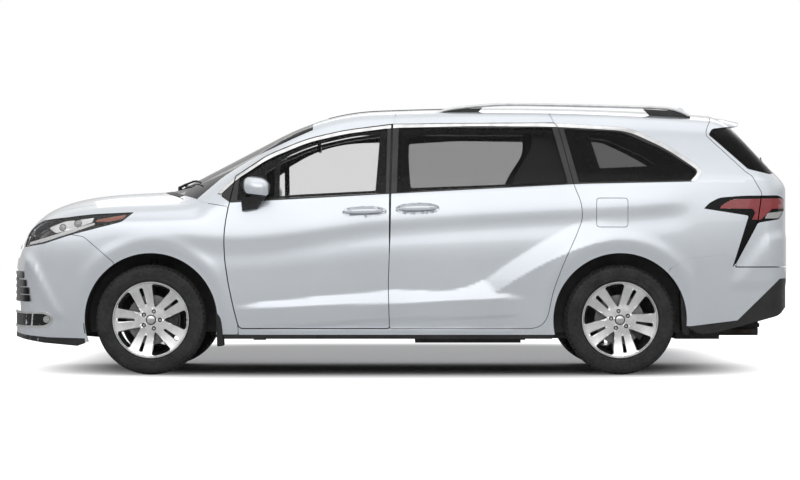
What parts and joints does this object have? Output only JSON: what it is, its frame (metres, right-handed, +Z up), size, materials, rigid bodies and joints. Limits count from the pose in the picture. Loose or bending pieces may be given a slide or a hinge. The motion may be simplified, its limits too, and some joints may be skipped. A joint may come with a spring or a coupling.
{
  "type": "minivan",
  "caption": "Family minivan with hinged front doors, fixed sliding doors, a raised roof line, roof rails, an opening bonnet and tailgate, and steered front wheels.",
  "frame": {"origin": "on the ground under the middle of the car's bounding box", "axes": "+X towards the tail, +Y towards the car's right side, +Z up"},
  "size_m": [5.182, 2.2746, 1.792],
  "materials": {
    "body_paint": "pale silver car paint under clear coat",
    "dark_trim": "grained black plastic",
    "gloss_trim": "gloss black plastic",
    "front_glass": "clear laminated glass",
    "privacy_glass": "dark tinted tempered glass",
    "headlamp_lens": "clear lamp cover",
    "tail_lens": "red and clear lamp cover",
    "rail_metal": "satin anodised roof rail",
    "alloy": "painted cast alloy",
    "tyre": "tyre rubber",
    "cast": "bare and painted castings",
    "sheet": "coated underbody sheet",
    "steel": "exhaust steel",
    "seat_cloth": "woven seat cloth",
    "dash": "grained dashboard",
    "wheel_leather": "black steering wheel leather"
  },
  "bodies": {
    "car_body": {"body_side_left": "body_paint", "body_side_right": "body_paint", "roof_panel": "body_paint", "wing_left": "body_paint", "wing_right": "body_paint", "front_bumper": "body_paint", "grille": "gloss_trim", "headlamps": "headlamp_lens", "cowl_panel": "dark_trim", "windscreen": "front_glass", "sliding_door_left": "body_paint", "sliding_door_right": "body_paint", "side_windows": "privacy_glass", "tail_lamps": "tail_lens", "rear_bumper": "body_paint", "roof_rails": "rail_metal", "wipers": "dark_trim", "sill_trims": "dark_trim", "mud_flaps": "dark_trim", "floor_pan": "sheet", "bulkhead": "sheet", "arch_liners": "dark_trim", "dashboard": "dash", "front_seats": "seat_cloth", "middle_seats": "seat_cloth", "rear_seats": "seat_cloth", "engine_block": "cast", "subframe": "sheet", "rear_axle": "cast", "exhaust": "steel", "fuel_tank": "dark_trim"},
    "left_door": {"front_door_left": "body_paint", "front_window_left": "front_glass"},
    "right_door": {"front_door_right": "body_paint", "front_window_right": "front_glass"},
    "bonnet_lid": {"bonnet": "body_paint"},
    "rear_gate": {"tailgate": "body_paint", "rear_window": "privacy_glass", "tailgate_lamps": "tail_lens", "rear_wiper": "dark_trim", "plate_holder": "dark_trim"},
    "filler_flap": {"fuel_flap": "body_paint"},
    "steering": {"steering_wheel": "wheel_leather"},
    "left_knuckle": {"knuckle_left": "cast"},
    "right_knuckle": {"knuckle_right": "cast"},
    "left_front_wheel": {"rim_front_left": "alloy", "tyre_front_left": "tyre"},
    "right_front_wheel": {"rim_front_right": "alloy", "tyre_front_right": "tyre"},
    "left_rear_wheel": {"rim_rear_left": "alloy", "tyre_rear_left": "tyre"},
    "right_rear_wheel": {"rim_rear_right": "alloy", "tyre_rear_right": "tyre"}
  },
  "joints": [
    {"name": "left_door_hinge", "type": "hinge", "parent": "car_body", "child": "left_door", "pos_m": [-1.149, -0.998, 0.85], "axis": [0, 0, -1], "range_deg": [0, 65]},
    {"name": "right_door_hinge", "type": "hinge", "parent": "car_body", "child": "right_door", "pos_m": [-1.149, 0.998, 0.85], "axis": [0, 0, 1], "range_deg": [0, 65]},
    {"name": "bonnet_hinge", "type": "hinge", "parent": "car_body", "child": "bonnet_lid", "pos_m": [-1.426, 0, 1.207], "axis": [0, 1, 0], "range_deg": [0, 55]},
    {"name": "tailgate_hinge", "type": "hinge", "parent": "car_body", "child": "rear_gate", "pos_m": [2.06, 0, 1.722], "axis": [0, -1, 0], "range_deg": [0, 80]},
    {"name": "flap_hinge", "type": "hinge", "parent": "car_body", "child": "filler_flap", "pos_m": [1.2785, -0.992, 1.06], "axis": [0, 0, -1], "range_deg": [0, 85]},
    {"name": "steer_left", "type": "hinge", "parent": "car_body", "child": "left_knuckle", "pos_m": [-1.625, -0.79, 0.36], "axis": [0, 0, 1], "range_deg": [-35, 35]},
    {"name": "steer_right", "type": "hinge", "parent": "car_body", "child": "right_knuckle", "pos_m": [-1.625, 0.79, 0.36], "axis": [0, 0, 1], "range_deg": [-35, 35]},
    {"name": "steering_turn", "type": "hinge", "parent": "car_body", "child": "steering", "pos_m": [-0.59, -0.37, 0.985], "axis": [0.8988, 0, 0.4384], "range_deg": [-500, 500]},
    {"name": "spin_front_left", "type": "hinge", "parent": "left_knuckle", "child": "left_front_wheel", "pos_m": [-1.625, -0.855, 0.36], "axis": [0, 1, 0], "continuous": true},
    {"name": "spin_front_right", "type": "hinge", "parent": "right_knuckle", "child": "right_front_wheel", "pos_m": [-1.625, 0.855, 0.36], "axis": [0, 1, 0], "continuous": true},
    {"name": "spin_rear_left", "type": "hinge", "parent": "car_body", "child": "left_rear_wheel", "pos_m": [1.435, -0.855, 0.36], "axis": [0, 1, 0], "continuous": true},
    {"name": "spin_rear_right", "type": "hinge", "parent": "car_body", "child": "right_rear_wheel", "pos_m": [1.435, 0.855, 0.36], "axis": [0, 1, 0], "continuous": true}
  ],
  "couplings": [
    {"joint": "steer_right", "follows": "steer_left", "ratio": 1},
    {"joint": "steering_turn", "follows": "steer_left", "ratio": 14}
  ]
}
